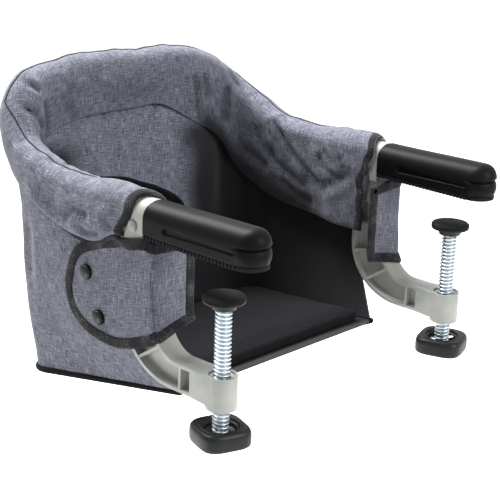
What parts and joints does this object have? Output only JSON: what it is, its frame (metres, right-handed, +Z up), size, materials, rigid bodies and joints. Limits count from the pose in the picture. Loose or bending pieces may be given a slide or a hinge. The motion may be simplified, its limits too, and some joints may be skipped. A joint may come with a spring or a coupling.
{
  "type": "hook on table chair",
  "caption": "Fabric bucket seat on a folding tube hoop, hung from a tabletop by two padded arms whose C-shaped brackets clamp with screws from below",
  "frame": {"origin": "on the tabletop at the table's edge, midway between the two arms", "axes": "+Z up, the table towards -Y, the seat's back towards +Y, +X to the left of someone sitting in it"},
  "size_m": [0.3958, 0.4009, 0.3182],
  "materials": {
    "bracket_grey": "fine moulded grain",
    "grip_black": "satin moulded",
    "sole_rubber": "matt rubber",
    "zinc_steel": "bright zinc plate",
    "knob_black": "satin moulded",
    "tube_steel": "grey powder coat",
    "fabric_blue_grey": "heathered plain weave",
    "lining_black": "plain weave",
    "board_black": "covered board",
    "snap_black": "black enamel"
  },
  "bodies": {
    "frame": {"clamp_bracket_left": "bracket_grey", "clamp_bracket_right": "bracket_grey", "arm_grip_left": "grip_black", "arm_grip_right": "grip_black", "grip_sole_left": "sole_rubber", "grip_sole_right": "sole_rubber", "screw_nut_left": "zinc_steel", "screw_nut_right": "zinc_steel", "hinge_bolt_left": "zinc_steel", "hinge_bolt_right": "zinc_steel", "hinge_nut_left": "zinc_steel", "hinge_nut_right": "zinc_steel", "lock_spring_left": "zinc_steel", "lock_spring_right": "zinc_steel", "side_panel_left": "fabric_blue_grey", "side_panel_right": "fabric_blue_grey", "back_panel": "fabric_blue_grey", "flap_left": "fabric_blue_grey", "flap_right": "fabric_blue_grey", "snap_upper_left": "snap_black", "snap_upper_right": "snap_black", "snap_lower_left": "snap_black", "snap_lower_right": "snap_black", "seat_board": "board_black", "seat_pad": "lining_black"},
    "hoop": {"back_hoop": "tube_steel", "hinge_tongue_left": "tube_steel", "hinge_tongue_right": "tube_steel", "rim_sleeve": "fabric_blue_grey"},
    "button_left": {"lock_button_left": "knob_black"},
    "button_right": {"lock_button_right": "knob_black"},
    "pad_left": {"pressure_pad_left": "knob_black", "pad_face_left": "sole_rubber"},
    "pad_right": {"pressure_pad_right": "knob_black", "pad_face_right": "sole_rubber"},
    "screw_left": {"clamp_screw_left": "zinc_steel", "clamp_knob_left": "knob_black", "knob_pin_left": "zinc_steel"},
    "screw_right": {"clamp_screw_right": "zinc_steel", "clamp_knob_right": "knob_black", "knob_pin_right": "zinc_steel"}
  },
  "joints": [
    {"name": "hoop_fold", "type": "hinge", "parent": "frame", "child": "hoop", "pos_m": [0, 0.027, 0.009], "axis": [1, 0, 0], "range_deg": [-50, 0], "deforming": ["rim_sleeve", "side_panel_left", "side_panel_right", "back_panel"]},
    {"name": "button_left_press", "type": "slide", "parent": "frame", "child": "button_left", "axis": [1, 0, 0], "range_m": [0, 0.003], "stiffness_N_per_m": 600, "springref_m": -0.002, "deforming": ["lock_spring_left"]},
    {"name": "button_right_press", "type": "slide", "parent": "frame", "child": "button_right", "axis": [-1, 0, 0], "range_m": [0, 0.003], "stiffness_N_per_m": 600, "springref_m": -0.002, "deforming": ["lock_spring_right"]},
    {"name": "pad_left_lift", "type": "slide", "parent": "frame", "child": "pad_left", "axis": [0, 0, 1], "range_m": [-0.055, 0.015]},
    {"name": "screw_left_turn", "type": "hinge", "parent": "pad_left", "child": "screw_left", "pos_m": [0.17, -0.0765, -0.1], "axis": [0, 0, 1], "range_deg": [-4950, 1350]},
    {"name": "pad_right_lift", "type": "slide", "parent": "frame", "child": "pad_right", "axis": [0, 0, 1], "range_m": [-0.055, 0.015]},
    {"name": "screw_right_turn", "type": "hinge", "parent": "pad_right", "child": "screw_right", "pos_m": [-0.17, -0.0765, -0.1], "axis": [0, 0, 1], "range_deg": [-4950, 1350]}
  ],
  "couplings": [
    {"joint": "screw_left_turn", "follows": "pad_left_lift", "rad_per_m": 1570.8},
    {"joint": "screw_right_turn", "follows": "pad_right_lift", "rad_per_m": 1570.8}
  ]
}
